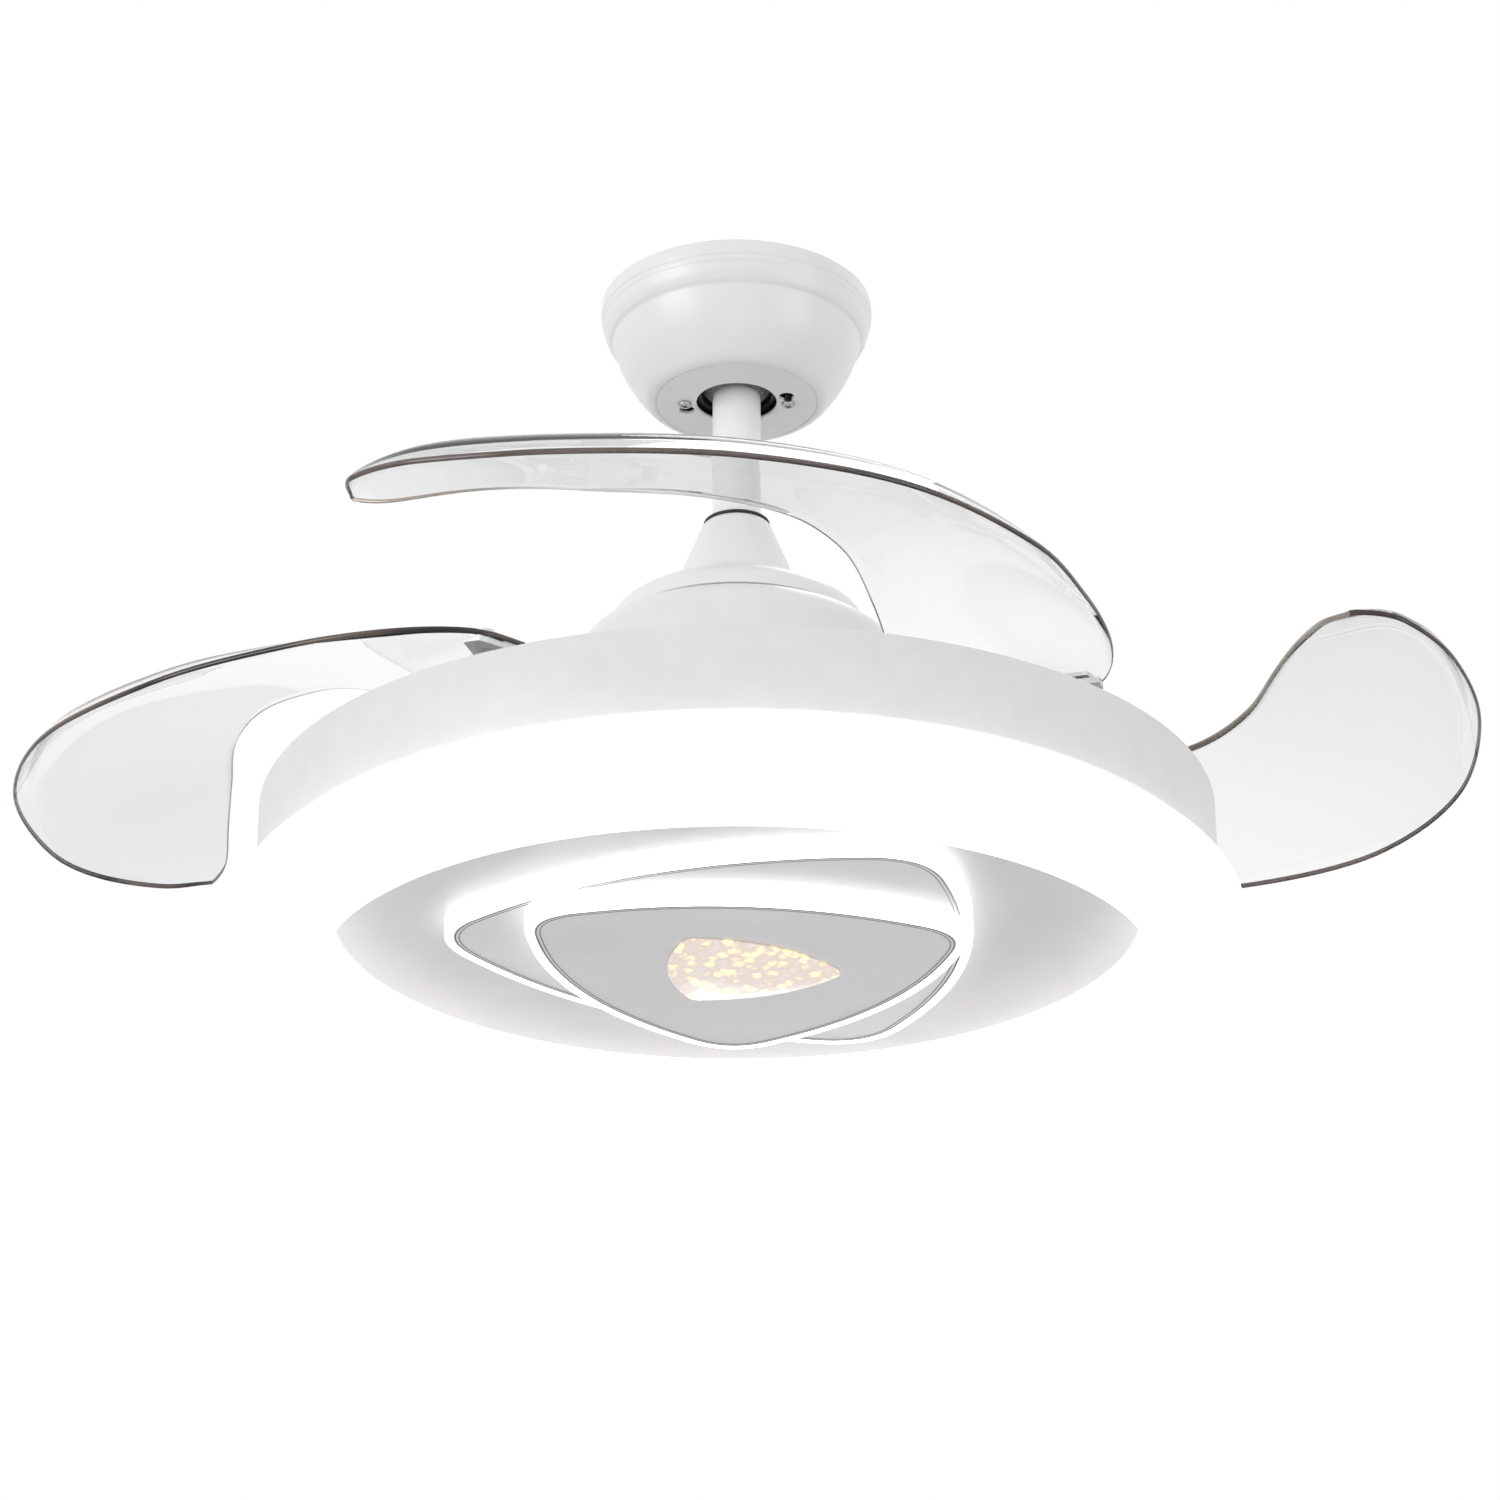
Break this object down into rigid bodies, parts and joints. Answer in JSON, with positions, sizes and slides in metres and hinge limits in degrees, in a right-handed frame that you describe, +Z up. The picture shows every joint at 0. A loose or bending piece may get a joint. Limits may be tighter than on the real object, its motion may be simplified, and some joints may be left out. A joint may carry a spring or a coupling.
{
  "type": "retractable blade ceiling fan",
  "caption": "Ceiling fan on a short down rod, with clear curved blades that swing out from above a round ring lamp with stacked triangular lamps.",
  "frame": {"origin": "centre of the ceiling bracket's top face, where it meets the ceiling", "axes": "+Z up, away from the lamp; the lamp hangs along -Z; -Y faces the viewer of the picture"},
  "size_m": [0.7488, 0.7488, 0.3966],
  "materials": {
    "white_paint": "satin",
    "white_plastic": "matt",
    "grey_plastic": "matt",
    "black_rubber": "matt",
    "steel": "satin",
    "zinc_plate": "satin",
    "cast_aluminium": "satin",
    "copper": "lacquered",
    "board_white": "matt",
    "lit_diffuser": "opal, lit",
    "lamp_grey": "satin",
    "crystal": "bubbled, lit",
    "clear_blade": "clear"
  },
  "bodies": {
    "ceiling_set": {"ceiling_bracket": "zinc_plate", "canopy": "white_paint", "canopy_screw_1": "zinc_plate", "canopy_screw_2": "zinc_plate", "remote_receiver": "white_plastic"},
    "hanging_frame": {"hanger_ball": "grey_plastic", "ball_pin": "steel", "down_rod": "white_paint", "coupling_cover": "white_paint", "cover_seal_ring": "black_rubber", "motor_yoke": "zinc_plate", "yoke_bolt": "steel", "motor_top_cover": "white_paint", "motor_shaft": "steel", "upper_bearing": "steel", "lower_bearing": "steel", "stator": "copper", "drum_housing": "white_paint", "light_mount_plate": "zinc_plate", "shaft_nut": "steel", "base_plate": "white_paint", "led_ring_board": "board_white", "led_driver": "board_white", "diffuser_ring": "lit_diffuser", "upper_lamp_rim": "lit_diffuser", "upper_lamp_face": "lamp_grey", "lower_lamp_rim": "lit_diffuser", "lower_lamp_face": "lamp_grey", "crystal_panel": "crystal"},
    "rotor": {"rotor_shell": "cast_aluminium", "blade_carrier": "zinc_plate", "pivot_post_1": "steel", "pivot_post_2": "steel", "pivot_post_3": "steel", "pivot_post_4": "steel", "return_spring_1": "steel", "return_spring_2": "steel", "return_spring_3": "steel", "return_spring_4": "steel"},
    "sync_gear_body": {"sync_gear": "zinc_plate"},
    "blade_arm_1": {"blade_1": "clear_blade", "blade_holder_1": "zinc_plate", "blade_clamp_1": "zinc_plate"},
    "blade_arm_2": {"blade_2": "clear_blade", "blade_holder_2": "zinc_plate", "blade_clamp_2": "zinc_plate"},
    "blade_arm_3": {"blade_3": "clear_blade", "blade_holder_3": "zinc_plate", "blade_clamp_3": "zinc_plate"},
    "blade_arm_4": {"blade_4": "clear_blade", "blade_holder_4": "zinc_plate", "blade_clamp_4": "zinc_plate"}
  },
  "joints": [
    {"name": "hanger_tilt", "type": "hinge", "parent": "ceiling_set", "child": "hanging_frame", "pos_m": [0, 0, -0.036], "axis": [1, 0, 0], "range_deg": [-12, 12]},
    {"name": "rotor_spin", "type": "hinge", "parent": "hanging_frame", "child": "rotor", "pos_m": [0, 0, -0.265], "axis": [0, 0, 1], "continuous": true},
    {"name": "blade_1_swing", "type": "hinge", "parent": "rotor", "child": "blade_arm_1", "pos_m": [0.14205, -0.08876, -0.29], "axis": [0, 0, 1], "range_deg": [-46, 68]},
    {"name": "blade_2_swing", "type": "hinge", "parent": "rotor", "child": "blade_arm_2", "pos_m": [0.08876, 0.14205, -0.29], "axis": [0, 0, 1], "range_deg": [-46, 68]},
    {"name": "blade_3_swing", "type": "hinge", "parent": "rotor", "child": "blade_arm_3", "pos_m": [-0.14205, 0.08876, -0.29], "axis": [0, 0, 1], "range_deg": [-46, 68]},
    {"name": "blade_4_swing", "type": "hinge", "parent": "rotor", "child": "blade_arm_4", "pos_m": [-0.08876, -0.14205, -0.29], "axis": [0, 0, 1], "range_deg": [-46, 68]},
    {"name": "sync_gear_turn", "type": "hinge", "parent": "rotor", "child": "sync_gear_body", "pos_m": [0, 0, -0.296], "axis": [0, 0, 1], "range_deg": [-22, 15]}
  ],
  "couplings": [
    {"joint": "blade_2_swing", "follows": "blade_1_swing", "ratio": 1},
    {"joint": "blade_3_swing", "follows": "blade_1_swing", "ratio": 1},
    {"joint": "blade_4_swing", "follows": "blade_1_swing", "ratio": 1},
    {"joint": "sync_gear_turn", "follows": "blade_1_swing", "ratio": -0.31579}
  ]
}
